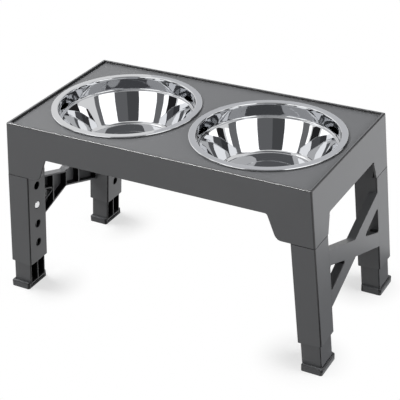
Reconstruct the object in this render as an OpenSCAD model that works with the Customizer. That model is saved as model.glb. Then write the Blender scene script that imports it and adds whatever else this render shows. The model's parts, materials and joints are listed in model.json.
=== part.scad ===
// Raised feeder: two steel bowls in a moulded table top on two folding, height-adjustable leg frames.
// The length runs along X, the depth along Y and +Z is up. The origin is on the floor, below the middle.

/* [Table] */
// Length of the table top at its rim
table_l = 445; // [432:1:520]
// Depth of the table top at its rim
table_w = 243; // [226:1:300]
// Height of the rim above the floor, with the buttons in the holes that hold them
table_h = 262; // [232:1:300]
// Height from the rim down to the seam between the corner stubs and the legs
stub_h = 78; // [74:0.5:90]
// Height of the front and back aprons
apron_front_h = 44.5; // [36:0.5:52]
// Height of the end aprons
apron_end_h = 51; // [36:0.5:54]
// Outward lean of the end walls and the legs, in degrees
leg_lean = 4.6; // [2:0.1:7]
// Draft of the front and back walls, in degrees
wall_draft = 0.5; // [0.2:0.1:1.5]
// Slant of the stubs' inner edges on the front and back, in degrees
stub_slant = 21; // [10:1:28]
// Spread of the stubs' edges up to the end aprons
end_flare = 8.5; // [4:0.5:14]
// Thickness of the moulded walls
wall = 3; // [2.5:0.1:4]
// Thickness of the top panel
panel_t = 3; // [2:0.1:5]
// Height of the rim above the panel
rim_h = 3; // [1:0.1:4]
// Width of the rim
rim_w = 4.5; // [3:0.1:6]
// Rounding of the rim's outer edge
rim_edge = 1.8; // [0.4:0.1:2.4]
// Radius of the table's upright corners
corner_r = 2; // [1:0.5:10]
// Radius of the fillets between the aprons and the stubs
apron_fillet = 4; // [2:0.5:8]

/* [Underside] */
// Thickness of the ribs and of the collars round the bowl holes
rib_t = 2.5; // [1.5:0.1:4]
// Depth of the collars below the panel
collar_h = 10; // [6:1:16]
// Depth of the short ribs below the panel
rib_h = 20; // [12:1:28]
// Depth of the middle rib below the panel
mid_rib_h = 30; // [20:1:36]

/* [Bowls] */
// Diameter of a bowl over its flange
bowl_d = 208; // [196:1:212]
// Distance between the bowls' middles
bowl_pitch = 215; // [212:1:230]
// Radius of a bowl below its flange
bowl_body_r = 95; // [88:0.5:98]
// Depth of a bowl below the panel
bowl_depth = 61; // [50:1:70]
// Radius of a bowl's flat bottom, to the corner of its wall
bowl_floor_r = 70; // [50:1:80]
// Height of the upright band below the flange
bowl_band_h = 18.5; // [10:0.5:24]
// Width of the step below the band
bowl_step = 3.5; // [1.5:0.5:5]
// Radius of the corner between wall and bottom
bowl_corner_r = 8; // [4:1:14]
// Thickness of the sheet
bowl_t = 0.8; // [0.6:0.1:1.5]
// Radius of the rolled edge
bowl_roll_r = 1.2; // [0.9:0.1:2]

/* [Legs] */
// Width of a leg along the table's length
leg_x = 33; // [28:0.5:38]
// Width of a leg along the table's depth
leg_y = 40.5; // [34:0.5:46]
// Wall of a sleeve
sleeve_wall = 2.5; // [2:0.1:5]
// Rounding of the legs' upright edges
leg_edge = 1.6; // [1:0.1:3]
// Number of button holes in a sleeve that is long enough for them
hole_count = 4; // [2:1:6]
// Which hole holds the button, counted from the top
rest_hole = 2; // [1:1:4]
// Distance of the top hole below the seam
first_hole = 20; // [16:1:24]
// Distance between the holes
hole_pitch = 31; // [26:1:33]
// Least distance from a hole to the sleeve's lower end
hole_end = 20; // [10:1:28]
// Diameter of the holes
hole_d = 11; // [9:0.5:13]

/* [Brace] */
// Distance of the brace's middle below the seam
brace_drop = 65; // [56:1:70]
// Half height of the brace in its middle
brace_mid = 12.5; // [10:0.5:18]
// Half height of the brace at the legs
brace_end = 41; // [34:0.5:44]
// Depth of the brace along the table's length
brace_depth = 12; // [8:0.5:20]
// Thickness of the brace's outer plate
brace_plate = 3; // [2:0.1:4]
// Thickness of the brace's flanges and ribs
brace_flange = 2.5; // [1.5:0.1:4]
// Fillet in the brace's two notches
brace_fillet = 12; // [4:1:20]
// Distance of a window's point from the middle
window_tip = 33; // [28:0.5:48]
// Half height of a window at its leg
window_half = 18.5; // [14:0.5:22]
// Distance from a window to its leg
window_gap = 0.8; // [0.5:0.1:8]
// Radius of a window's corners
window_r = 2.5; // [1:0.5:4]

/* [Hinges] */
// Distance from the hinge axis to the legs' inner faces
hinge_reach = 11; // [11:0.5:15]
// Height of the hinge axis above the seam
hinge_rise = 10.5; // [9.5:0.5:11]
// Diameter of a hinge pin
pin_d = 6; // [5:0.5:8]
// Diameter of a pin's head
pin_head_d = 11; // [9:0.5:14]
// Thickness of a pin's head
pin_head_t = 2.4; // [1.5:0.1:4]
// Depth of a pin's end in the outer wall
pin_bite = 2; // [1:0.1:2.4]
// Radius of the hinge eyes
eye_r = 9; // [7:0.5:9.2]
// Thickness of the ears that hold the eyes
ear_t = 8; // [5:0.5:12]
// Half width of the hangers that hold the pins' inner ends
hanger_r = 6.5; // [5:0.5:7]
// Thickness of a tongue's walls
cheek_t = 5; // [3:0.5:7]

/* [Inner legs and feet] */
// How much of an inner leg shows between its sleeve and its foot
leg_show = 32.5; // [8:0.5:40]
// Wall of an inner leg
inner_wall = 2.5; // [2:0.1:3.5]
// Thickness of an inner leg's middle rib
inner_rib = 2.2; // [1.5:0.1:4]
// Rounding of an inner leg's upright edges
inner_edge = 1.2; // [0.5:0.1:2]
// Distance from the button down to the end of the closed head
head_below = 26; // [24:1:32]
// Distance from the head up to the seam, with the button in the top hole
head_margin = 4; // [2:0.5:8]
// Width of a foot along the table's length
foot_x = 30; // [28:0.5:36]
// Width of a foot along the table's depth
foot_y = 44; // [40:0.5:52]
// Height of a foot
foot_h = 9; // [8:0.5:20]
// Thickness of a foot below its leg
foot_base = 3.7; // [3:0.1:5]
// Rounding of a foot's upright edges
foot_edge = 3; // [1:0.5:5]
// How far a foot stands out past the middle of its leg
foot_out = 1; // [0:0.1:2]
// Thickness of a foot below the slot under its leg
slot_lip = 1.1; // [0.6:0.1:2]
// Thickness of an inner leg's end, seen as a strip above that slot
strip_h = 1.2; // [0.8:0.1:3]
// Height of the slot above the strip
slot_h = 1.5; // [1:0.1:3]

/* [Button clips] */
// Diameter of a button
button_d = 10.4; // [8:0.1:10.6]
// How far a button stands out of its hole
button_proud = 0.4; // [0:0.1:1]
// Chamfer of a button's end
button_chamfer = 0.8; // [0.3:0.1:1.5]
// Width of a clip's strip
clip_w = 9; // [6:0.5:10]
// Thickness of a clip's strip
clip_t = 0.8; // [0.5:0.1:1.2]
// Straight length of a clip below the button
clip_tail = 11; // [9:1:13]

/* [Clearances] */
// Gap between a stub's bottom and the leg below it
seam_gap = 0.9; // [0.2:0.1:1.5]
// Gap beside a hinge tongue
tongue_gap = 0.5; // [0.35:0.05:1]
// Gap round an inner leg in its sleeve
slide_gap = 0.3; // [0.2:0.05:0.6]
// Gap round a hinge pin in a tongue's eyes
hinge_gap = 0.05; // [0.02:0.01:0.1]
// Gap round a pin or an inner leg in the piece that holds it
seat_gap = 0.02; // [0.01:0.01:0.05]
// Gap at a pin's end in the outer wall
pin_end_gap = 0.1; // [0.05:0.05:0.5]
// Gap round a button in its inner leg
button_gap = 0.3; // [0.2:0.05:0.5]
// Gap between a clip and the walls it leans on
clip_gap = 0.15; // [0.1:0.05:0.3]
// Gap between a bowl's rolled edge and the panel
bowl_gap = 0.3; // [0.2:0.05:0.5]
// Gap round a bowl in its hole
bowl_hole_gap = 0.8; // [0.5:0.1:2]

/* [Hidden] */
corners = ["front_left", "back_left", "front_right", "back_right"];
$fn = 96;
arc_steps = 6;
slab_t = 0.01;
cut_margin = 1;
space = 2 * table_l;
plastic = "#4a4b4d";
plastic_inner = "#434446";
rubber = "#3b3c3e";
steel = "#c9cccf";

// Heights of the table's levels
z_seam = table_h - stub_h;
z_panel = table_h - rim_h;
z_cavity = z_panel - panel_t;
z_front_apron = table_h - apron_front_h;
z_end_apron = table_h - apron_end_h;

// Half sizes of the leaning outer walls at a height, and the corner radius of a form drawn in by inset
function half_l(z) = table_l / 2 + (table_h - z) * tan(leg_lean);
function half_w(z) = table_w / 2 + (table_h - z) * tan(wall_draft);
function inset_r(inset) = max(corner_r - inset, tongue_gap);

// Hinge axis of the right frame, and the leg's places as seen from it
pivot_z = z_seam + hinge_rise;
leg_face = hinge_reach + leg_x;
pivot_x = half_l(pivot_z) - leg_face / cos(leg_lean);
leg_cx = hinge_reach + leg_x / 2;
leg_out_y = half_w(z_seam);
leg_in_y = leg_out_y - leg_y;
leg_cy = leg_out_y - leg_y / 2;
seam_at_leg = -hinge_rise / cos(leg_lean) - leg_cx * tan(leg_lean);
floor_at_leg = -(pivot_z + leg_cx * sin(leg_lean)) / cos(leg_lean);
sleeve_bottom = floor_at_leg + foot_h / cos(leg_lean) + leg_show;
brace_z = seam_at_leg - brace_drop;
function hole_z(number) = seam_at_leg - first_hole - hole_pitch * (number - 1);
holes = min(hole_count, 1 + floor((hole_z(1) - sleeve_bottom - hole_end) / hole_pitch));
button_z = hole_z(rest_hole);

// Tongue inside a stub, which turns within the end wall, and the hanger beside its ear
tongue_r = leg_face - wall - tongue_gap;
tongue_out_y = leg_out_y - wall - tongue_gap;
hanger_out_y = tongue_out_y - ear_t - tongue_gap;
hanger_in_y = hanger_out_y - wall;

// Inner leg in its sleeve. Its head stops below the seam when the button is in the top hole.
inner_x = leg_x - 2 * (sleeve_wall + slide_gap);
inner_y = leg_y - 2 * (sleeve_wall + slide_gap);
inner_top = button_z + first_hole - head_margin;
inner_bottom = floor_at_leg + foot_base;
head_bottom = button_z - head_below;
bore_top = hole_z(1) + first_hole - head_margin + cut_margin;
foot_cx = half_l(0) - leg_x / 2 / cos(leg_lean) + foot_out;
foot_cy = leg_cy + foot_out;

// Bowl seat
bowl_hole_r = bowl_body_r + bowl_hole_gap;
collar_r = bowl_hole_r + rib_t;

// Slanted edge of the stubs, touching the round corner about the hinge axis
stub_corner_r = hinge_rise;
stub_touch = [pivot_x - stub_corner_r * cos(stub_slant), pivot_z - stub_corner_r * sin(stub_slant)];
stub_top_x = stub_touch.x - (z_front_apron - stub_touch.y) * tan(stub_slant);

function unit(v) = v / norm(v);

// Points of one corner of an outline, rounded to radius r
function corner_arc(before, corner, after, r) =
    let (a = unit(before - corner), b = unit(after - corner), half = acos(a * b) / 2)
    let (centre = corner + unit(a + b) * r / sin(half), start = corner + a * r / tan(half) - centre)
    let (turn = (a.x * b.y - a.y * b.x > 0 ? -1 : 1) * (180 - 2 * half) / arc_steps)
    [for (k = [0 : arc_steps]) centre + [
        start.x * cos(turn * k) - start.y * sin(turn * k),
        start.x * sin(turn * k) + start.y * cos(turn * k)
    ]];

// An outline with each corner rounded to its own radius, where 0 leaves it sharp
function rounded(points, radii) = let (n = len(points)) [
    for (i = [0 : n - 1])
        let (before = points[(i + n - 1) % n], after = points[(i + 1) % n])
        each radii[i] > 0 ? corner_arc(before, points[i], after, radii[i]) : [points[i]]
];

function rectangle(half_x, half_y) =
    [[-half_x, -half_y], [half_x, -half_y], [half_x, half_y], [-half_x, half_y]];

function same(r, n = 4) = [for (i = [1 : n]) r];

// An outline drawn in X and Z, drawn out to both sides along Y
module along_y(depth) {
    rotate([90, 0, 0])
        linear_extrude(depth, center = true)
            children();
}

// An outline drawn in Y and Z, drawn out along +X
module along_x(depth) {
    rotate([90, 0, 90])
        linear_extrude(depth)
            children();
}

// Frame of the right legs: the hinge axis at the origin, X outward, Z up along the legs
module leaning() {
    translate([pivot_x, 0, pivot_z])
        rotate([0, -leg_lean, 0])
            children();
}

// Brings a piece that is drawn at the back right to any corner
module at_corner(side, end) {
    mirror([side < 0 ? 1 : 0, 0, 0])
        mirror([0, end < 0 ? 1 : 0, 0])
            children();
}

module post(half_x, half_y, edge, bottom, top) {
    translate([0, 0, bottom])
        linear_extrude(top - bottom)
            polygon(rounded(rectangle(half_x, half_y), same(edge)));
}

// Level slice of the table's outer form, drawn in by inset, with its top at z
module table_slab(z, inset) {
    half_x = half_l(z) - inset;
    half_y = half_w(z) - inset;
    translate([0, 0, z - slab_t])
        linear_extrude(slab_t)
            polygon(rounded(rectangle(half_x, half_y), same(inset_r(inset))));
}

module table_form() {
    hull() {
        for (turn = [0 : 30 : 90])
            table_slab(table_h - rim_edge * (1 - sin(turn)), rim_edge * (1 - cos(turn)));
        table_slab(z_seam + slab_t, 0);
    }
}

module table_cavity() {
    hull() {
        table_slab(z_cavity, wall);
        table_slab(z_seam - cut_margin, wall);
    }
}

// Opening below the front and back aprons, between the stubs
module front_opening() {
    low = z_seam - cut_margin;
    low_x = stub_touch.x + (stub_touch.y - low) * tan(stub_slant);
    difference() {
        union() {
            polygon(rounded(
                [[-low_x, low], [low_x, low], [stub_top_x, z_front_apron], [-stub_top_x, z_front_apron]],
                [0, 0, apron_fillet, apron_fillet]
            ));
            translate([-pivot_x, low])
                square([2 * pivot_x, stub_touch.y - low]);
        }
        for (side = [-1, 1])
            translate([side * pivot_x, pivot_z])
                circle(stub_corner_r);
    }
}

// Opening below the end aprons, between the stubs
module end_opening() {
    low = z_seam - cut_margin;
    high_y = leg_in_y - end_flare;
    polygon(rounded(
        [[-leg_in_y, low], [leg_in_y, low], [high_y, z_end_apron], [-high_y, z_end_apron]],
        [0, 0, apron_fillet, apron_fillet]
    ));
}

// Hanger of the back right hinge pin, round at its end, with a rib to the back wall above the ear
module hanger() {
    rib_z = pivot_z + eye_r + tongue_gap;
    pin_shaft(hanger_in_y, hanger_out_y, hanger_r);
    translate([pivot_x - hanger_r, hanger_in_y, pivot_z])
        cube([2 * hanger_r, wall, z_panel - pivot_z]);
    translate([pivot_x - rib_t / 2, hanger_in_y, rib_z])
        cube([rib_t, leg_out_y - hanger_in_y, z_panel - rib_z]);
}

// Hangers of the hinge pins, collars round the bowl holes and ribs under the panel
module underside() {
    for (side = [-1, 1], end = [-1, 1])
        at_corner(side, end)
            hanger();
    for (side = [-1, 1])
        translate([side * bowl_pitch / 2, 0, 0]) {
            translate([0, 0, z_cavity - collar_h])
                cylinder(r = collar_r, h = collar_h + panel_t);
            for (turn = [-90, 90, side < 0 ? 180 : 0])
                rotate(turn)
                    translate([bowl_hole_r, -rib_t / 2, z_cavity - rib_h])
                        cube([table_w / 2, rib_t, rib_h]);
        }
    translate([-rib_t / 2, -half_w(z_seam), z_cavity - mid_rib_h])
        cube([rib_t, 2 * half_w(z_seam), mid_rib_h]);
}

module table_top() {
    color(plastic)
        difference() {
            union() {
                difference() {
                    table_form();
                    table_cavity();
                }
                intersection() {
                    table_form();
                    underside();
                }
            }
            post(table_l / 2 - rim_w, table_w / 2 - rim_w, corner_r, z_panel, table_h + cut_margin);
            for (side = [-1, 1])
                translate([side * bowl_pitch / 2, 0, z_cavity - rib_h - cut_margin])
                    cylinder(r = bowl_hole_r, h = rib_h + panel_t + rim_h + 2 * cut_margin);
            along_y(space)
                front_opening();
            translate([-space / 2, 0, 0])
                along_x(space)
                    end_opening();
            for (side = [-1, 1], end = [-1, 1])
                at_corner(side, end)
                    pin_shaft(hanger_in_y - cut_margin, leg_out_y - wall + pin_bite, pin_d / 2 + seat_gap);
        }
}

// A bar along the hinge axis of the back right corner, between two depths
module pin_shaft(near_y, far_y, r) {
    translate([pivot_x, near_y, pivot_z])
        rotate([-90, 0, 0])
            cylinder(r = r, h = far_y - near_y);
}

module hinge_pin() {
    color(steel) {
        pin_shaft(hanger_in_y, leg_out_y - wall + pin_bite - pin_end_gap, pin_d / 2);
        pin_shaft(hanger_in_y - pin_head_t, hanger_in_y, pin_head_d / 2);
    }
}

// Half section of the bowl's inside or outside, drawn in by t
module bowl_section(t) {
    top = z_panel + bowl_gap + 2 * bowl_roll_r;
    floor_z = z_panel - bowl_depth + t;
    step_z = z_panel - bowl_band_h;
    wall_r = bowl_body_r - bowl_step;
    polygon(rounded(
        [[0, floor_z], [bowl_floor_r - t, floor_z], [wall_r - t, step_z + t], [0, step_z + t]],
        [0, bowl_corner_r - t, 0, 0]
    ));
    translate([0, step_z + t])
        square([bowl_body_r - t, top - step_z - t + (t > 0 ? cut_margin : 0)]);
}

module bowl(side) {
    roll_r = bowl_d / 2 - bowl_roll_r;
    roll_z = z_panel + bowl_gap + bowl_roll_r;
    color(steel)
        translate([side * bowl_pitch / 2, 0, 0])
            rotate_extrude($fn = 128)
                difference() {
                    union() {
                        bowl_section(0);
                        translate([0, roll_z + bowl_roll_r - bowl_t])
                            square([roll_r, bowl_t]);
                        translate([roll_r, roll_z])
                            circle(bowl_roll_r);
                    }
                    bowl_section(bowl_t);
                }
}

// Outline of the X brace, drawn in by t
module brace_outline(t, end_y) {
    rise = (brace_end - brace_mid) / leg_in_y;
    drop = t * sqrt(1 + rise * rise);
    mid_z = brace_mid - drop;
    end_z = brace_mid + rise * end_y - drop;
    fillet = t > 0 ? 0 : brace_fillet;
    polygon(rounded(
        [[-end_y, -end_z], [0, -mid_z], [end_y, -end_z], [end_y, end_z], [0, mid_z], [-end_y, end_z]],
        [0, fillet, 0, 0, fillet, 0]
    ));
}

// The brace's two windows, let out by t
module brace_windows(t) {
    far_y = leg_in_y - window_gap;
    rise = window_half / (far_y - window_tip);
    tip_y = window_tip - t * sqrt(1 + 1 / (rise * rise));
    far_z = rise * (far_y + t - tip_y);
    for (side = [-1, 1])
        polygon(rounded(
            [[side * tip_y, 0], [side * (far_y + t), far_z], [side * (far_y + t), -far_z]],
            same(window_r + t, 3)
        ));
}

// Brace of a leg frame: an outer plate with flanges round its edges and windows, and upright ribs
module brace() {
    translate([leg_face - brace_depth, 0, brace_z])
        difference() {
            along_x(brace_depth)
                difference() {
                    brace_outline(0, leg_in_y + sleeve_wall / 2);
                    brace_windows(0);
                }
            translate([-cut_margin, 0, 0])
                along_x(brace_depth - brace_plate + cut_margin)
                    difference() {
                        brace_outline(brace_flange, leg_in_y - brace_flange);
                        brace_windows(brace_flange);
                        for (y = [-window_tip, 0, window_tip])
                            translate([y - brace_flange / 2, -brace_end])
                                square([brace_flange, 2 * brace_end]);
                    }
        }
}

// Side view of a hinge ear: an eye round the hinge axis, and an arm to the tongue
module ear_outline() {
    circle(eye_r);
    translate([0, -eye_r])
        square([hinge_reach + cheek_t, 2 * eye_r]);
}

// Tongue of the back leg: the leg runs on above the seam, drawn in to turn inside the stub, with a pocket in
// its top, an ear beside the back wall and a chamfer that clears the table's inside corner
module tongue() {
    difference() {
        union() {
            intersection() {
                translate([leg_cx, leg_cy, 0])
                    post(leg_x / 2, leg_y / 2, leg_edge, bore_top, eye_r);
                along_y(2 * tongue_out_y)
                    circle(tongue_r);
            }
            translate([0, tongue_out_y - ear_t / 2, 0])
                along_y(ear_t)
                    ear_outline();
        }
        translate([tongue_r, tongue_out_y, 0])
            rotate(45)
                cube([sqrt(2) * inset_r(wall), space, space], center = true);
        translate([hinge_reach + cheek_t, leg_in_y + cheek_t, -eye_r])
            cube([tongue_r - hinge_reach - 2 * cheek_t, tongue_out_y - ear_t - leg_in_y - cheek_t,
                2 * eye_r + cut_margin]);
    }
}

// Everything above the seam, in the legs' frame
module above_seam() {
    rotate([0, leg_lean, 0])
        translate([-space / 2, -space / 2, -hinge_rise - seam_gap])
            cube(space);
}

module leg_frame() {
    color(plastic)
        leaning()
            difference() {
                union() {
                    difference() {
                        for (end = [-1, 1])
                            translate([leg_cx, end * leg_cy, 0])
                                post(leg_x / 2, leg_y / 2, leg_edge, sleeve_bottom, 0);
                        above_seam();
                    }
                    for (end = [-1, 1])
                        at_corner(1, end)
                            tongue();
                    brace();
                }
                for (end = [-1, 1]) {
                    translate([leg_cx, end * leg_cy, 0])
                        post(inner_x / 2 + slide_gap, inner_y / 2 + slide_gap, inner_edge,
                            sleeve_bottom - cut_margin, bore_top);
                    for (number = [1 : holes])
                        translate([hinge_reach - cut_margin, end * leg_cy, hole_z(number)])
                            rotate([0, 90, 0])
                                cylinder(d = hole_d, h = sleeve_wall + 2 * cut_margin);
                }
                rotate([90, 0, 0])
                    cylinder(d = pin_d + 2 * hinge_gap, h = space, center = true);
            }
}

// Pockets of an inner leg between two heights, open toward the table's middle
module inner_pockets(bottom, top, rib) {
    pocket_y = inner_y / 2 - inner_wall - rib / 2;
    for (end = [-1, 1])
        translate([-inner_x / 2 - cut_margin, end * (rib + pocket_y) / 2 - pocket_y / 2, bottom])
            cube([inner_x - inner_wall + cut_margin, pocket_y, top - bottom]);
}

module inner_leg() {
    strip_top = inner_bottom + strip_h;
    color(plastic_inner)
        leaning()
            translate([leg_cx, leg_cy, 0])
                difference() {
                    post(inner_x / 2, inner_y / 2, inner_edge, inner_bottom, inner_top);
                    inner_pockets(floor_at_leg + foot_h, head_bottom, inner_rib);
                    inner_pockets(strip_top, strip_top + slot_h, 0);
                    translate([-inner_x / 2 + inner_wall, -clip_w / 2 - clip_t, head_bottom - cut_margin])
                        cube([inner_x - 2 * inner_wall, clip_w + 2 * clip_t,
                            inner_top - inner_wall - head_bottom + cut_margin]);
                    translate([-inner_x / 2 - cut_margin, 0, button_z])
                        rotate([0, 90, 0])
                            cylinder(r = button_d / 2 + button_gap, h = inner_wall + 2 * cut_margin);
                }
}

// Foot of the back right leg: a shoe that is open toward the table's middle, with a slot under the leg's end
module foot() {
    slot_y = inner_y - 2 * inner_wall;
    seat_y = inner_y + 2 * seat_gap;
    color(rubber)
        difference() {
            translate([foot_cx, foot_cy, 0])
                post(foot_x / 2, foot_y / 2, foot_edge, 0, foot_h);
            leaning()
                translate([leg_cx, leg_cy, 0]) {
                    post(inner_x / 2 + seat_gap, seat_y / 2, inner_edge, inner_bottom - seat_gap, inner_top);
                    translate([-foot_x, -seat_y / 2, inner_bottom - seat_gap])
                        cube([foot_x, seat_y, inner_top - inner_bottom]);
                }
            translate([foot_cx - foot_x / 2 - cut_margin, leg_cy - slot_y / 2, slot_lip])
                cube([foot_x / 2, slot_y, foot_base - slot_lip]);
        }
}

// Spring strip bent to a U behind the button, side view about the leg's axis
module clip_outline() {
    reach = inner_x / 2 - inner_wall - clip_gap;
    difference() {
        circle(reach);
        circle(reach - clip_t);
        translate([-reach, 0])
            square(2 * reach);
    }
    for (side = [-1, 1])
        translate([side * (reach - clip_t / 2) - clip_t / 2, 0])
            square([clip_t, clip_tail + button_d / 2]);
}

module button_clip() {
    strip_x = inner_x / 2 - inner_wall - clip_gap - clip_t / 2;
    shank = leg_x / 2 + button_proud - button_chamfer - strip_x;
    color(steel)
        leaning()
            translate([leg_cx, leg_cy, button_z]) {
                translate([0, 0, -clip_tail])
                    along_y(clip_w)
                        clip_outline();
                translate([-strip_x, 0, 0])
                    rotate([0, -90, 0]) {
                        cylinder(d = button_d, h = shank);
                        translate([0, 0, shank])
                            cylinder(d1 = button_d, d2 = button_d - 2 * button_chamfer, h = button_chamfer);
                    }
            }
}

table_top();
bowl(-1);  // left_bowl
bowl(1);  // right_bowl
at_corner(-1, 1) leg_frame();  // left_leg_frame
at_corner(1, 1) leg_frame();  // right_leg_frame
for (i = [0 : 3]) {
    side = i < 2 ? -1 : 1;
    end = i % 2 == 0 ? -1 : 1;
    at_corner(side, end) inner_leg();
    at_corner(side, end) foot();
    at_corner(side, end) button_clip();
    at_corner(side, end) hinge_pin();
}
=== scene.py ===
"""A raised dog feeder: the looks of its moulded, spun and sprung pieces, and the studio it stands in.

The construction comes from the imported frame, in metres. Sizes that a maker would quote are in millimetres
here, and MM turns them into metres.
"""

import json
import logging
import math
from abc import ABC, abstractmethod
from dataclasses import dataclass
from enum import Enum

import bmesh
import bpy
from mathutils import Matrix, Vector
from mathutils.bvhtree import BVHTree
from mathutils.kdtree import KDTree

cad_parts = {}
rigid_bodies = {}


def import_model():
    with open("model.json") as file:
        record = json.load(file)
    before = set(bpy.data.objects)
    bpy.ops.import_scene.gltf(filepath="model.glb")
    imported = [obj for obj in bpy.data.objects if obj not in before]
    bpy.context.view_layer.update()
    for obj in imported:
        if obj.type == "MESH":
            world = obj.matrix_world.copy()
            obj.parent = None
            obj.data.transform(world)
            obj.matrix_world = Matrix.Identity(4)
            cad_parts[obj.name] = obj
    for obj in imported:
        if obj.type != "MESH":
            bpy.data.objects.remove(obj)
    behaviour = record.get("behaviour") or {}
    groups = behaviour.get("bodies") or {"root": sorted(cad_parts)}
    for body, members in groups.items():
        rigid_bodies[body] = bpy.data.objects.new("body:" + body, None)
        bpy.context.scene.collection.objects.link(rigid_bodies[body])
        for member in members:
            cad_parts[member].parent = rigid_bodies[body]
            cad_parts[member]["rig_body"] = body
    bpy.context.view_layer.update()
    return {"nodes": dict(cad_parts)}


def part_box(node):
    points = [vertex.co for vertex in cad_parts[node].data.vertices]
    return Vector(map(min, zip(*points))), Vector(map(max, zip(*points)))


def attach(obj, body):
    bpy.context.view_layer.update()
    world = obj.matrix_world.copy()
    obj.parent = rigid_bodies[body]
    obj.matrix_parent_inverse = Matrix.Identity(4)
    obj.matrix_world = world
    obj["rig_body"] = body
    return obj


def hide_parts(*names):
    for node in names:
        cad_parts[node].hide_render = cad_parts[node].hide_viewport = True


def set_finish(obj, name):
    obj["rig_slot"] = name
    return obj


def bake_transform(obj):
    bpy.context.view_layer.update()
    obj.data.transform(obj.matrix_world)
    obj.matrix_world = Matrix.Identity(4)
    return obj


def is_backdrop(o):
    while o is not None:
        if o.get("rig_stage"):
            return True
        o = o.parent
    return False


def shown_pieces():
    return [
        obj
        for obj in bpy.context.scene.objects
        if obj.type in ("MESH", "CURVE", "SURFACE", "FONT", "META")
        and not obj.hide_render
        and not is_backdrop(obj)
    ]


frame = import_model()

MM = 0.001
SIDES = ("left", "right")
CORNERS = ("front_left", "back_left", "front_right", "back_right")
LOG = logging.getLogger("feeder")

# Octaves of the noise textures: few for single marks, more for soft clouds and rings.
MARK_DETAIL = 2.0
CLOUD_DETAIL = 3.0

Colour = tuple[float, float, float, float]  # linear red, green, blue and alpha
Point = tuple[float, float, float]  # a place, in metres
Plan = tuple[float, float]  # a place on the floor plan, in metres
Ring = tuple[float, float]  # radius and height of a ring round a bowl


def linear(hex_colour: str) -> Colour:
    """Turns an sRGB hex colour into linear red, green, blue and alpha.

    Args:
        hex_colour: Six hex digits after a hash sign.

    Returns:
        The linear colour, with an alpha of 1.
    """
    shares = [int(hex_colour[i:i + 2], 16) / 255 for i in (1, 3, 5)]
    levels = [s / 12.92 if s <= 0.04045 else ((s + 0.055) / 1.055) ** 2.4 for s in shares]
    return (*levels, 1.0)


def add_node(tree: bpy.types.NodeTree, kind: str, inputs: dict[str | int, object] | None = None,
             **settings: object) -> bpy.types.Node:
    """Adds a node with its settings, and sets or links its inputs.

    Args:
        tree: The node tree that gets the node.
        kind: The node's Blender type.
        inputs: Values or output sockets by input name or number.
        settings: Properties of the node itself.

    Returns:
        The new node.
    """
    node = tree.nodes.new(kind)
    for name, value in settings.items():
        setattr(node, name, value)
    for name, value in (inputs or {}).items():
        if isinstance(value, bpy.types.NodeSocket):
            tree.links.new(value, node.inputs[name])
        else:
            node.inputs[name].default_value = value
    return node


def per_metre(size_mm: float) -> float:
    """Gives the texture scale whose features are about size_mm across."""
    return 1 / (size_mm * MM)


def way_to(azimuth_deg: float, elevation_deg: float) -> Vector:
    """Gives the direction from the object to a place round it.

    Args:
        azimuth_deg: Turn round the object, where 0 is straight ahead of its front.
        elevation_deg: Height above the horizon.

    Returns:
        The direction, of length 1.
    """
    turn, rise = math.radians(azimuth_deg), math.radians(elevation_deg)
    return Vector((math.sin(turn) * math.cos(rise), -math.cos(turn) * math.cos(rise), math.sin(rise)))


def blank_material(name: str) -> bpy.types.Material:
    """Makes a material whose node tree is still empty.

    Args:
        name: Its name.

    Returns:
        The material.
    """
    made = bpy.data.materials.new(name)
    made.use_nodes = True
    made.node_tree.nodes.clear()
    return made


def deselect_all() -> None:
    """Leaves every object unselected, so that an operator meets only the new piece."""
    if bpy.context.object and bpy.context.object.mode != "OBJECT":
        bpy.ops.object.mode_set(mode="OBJECT")
    bpy.ops.object.select_all(action="DESELECT")


def make_active(piece: bpy.types.Object) -> None:
    """Selects one object alone and makes it the active one.

    Args:
        piece: The object.
    """
    deselect_all()
    piece.select_set(True)
    bpy.context.view_layer.objects.active = piece


def apply_modifiers(piece: bpy.types.Object) -> None:
    """Applies a piece's modifiers in order.

    Args:
        piece: The piece, which is then the active object.
    """
    make_active(piece)
    for modifier in list(piece.modifiers):
        bpy.ops.object.modifier_apply(modifier=modifier.name)


class Tone(Enum):
    """Greys of the studio, as sRGB hex colours."""

    BLACK = "#2a2a2b"
    SHADE = "#545557"
    DARK = "#727375"
    MID = "#7c7d7f"
    PALE = "#dcdde0"
    WHITE = "#ffffff"


class Mark(Enum):
    """Names of the face attributes for the polished roundings and for the shut-in faces, where a material
    paints shade.
    """

    EDGE = "rounding"
    RECESS = "recess"


@dataclass(frozen=True)
class Finish(ABC):
    """A surface that a piece can have.

    Attributes:
        name: The material's name.
        colour: Its main colour, as an sRGB hex value.
        roughness: Its mean roughness.
    """

    name: str
    colour: str
    roughness: float

    @abstractmethod
    def shade(self, tree: bpy.types.NodeTree, shader: bpy.types.Node) -> None:
        """Sets the shader's sockets and adds the nodes that vary them.

        Args:
            tree: The material's node tree.
            shader: Its shader.
        """

    def material(self) -> bpy.types.Material:
        """Makes the material, or gives the one that is there already.

        Returns:
            The material with its node tree.
        """
        known = bpy.data.materials.get(self.name)
        if known:
            return known
        made = bpy.data.materials.new(self.name)
        made.use_nodes = True
        made.diffuse_color = linear(self.colour)
        shader = made.node_tree.nodes["Principled BSDF"]
        shader.inputs["Base Color"].default_value = linear(self.colour)
        shader.inputs["Roughness"].default_value = self.roughness
        self.shade(made.node_tree, shader)
        return made

    def dress(self, piece: bpy.types.Object) -> None:
        """Puts the finish on a piece, in place of what it had."""
        piece.data.materials.clear()
        piece.data.materials.append(self.material())


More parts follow.
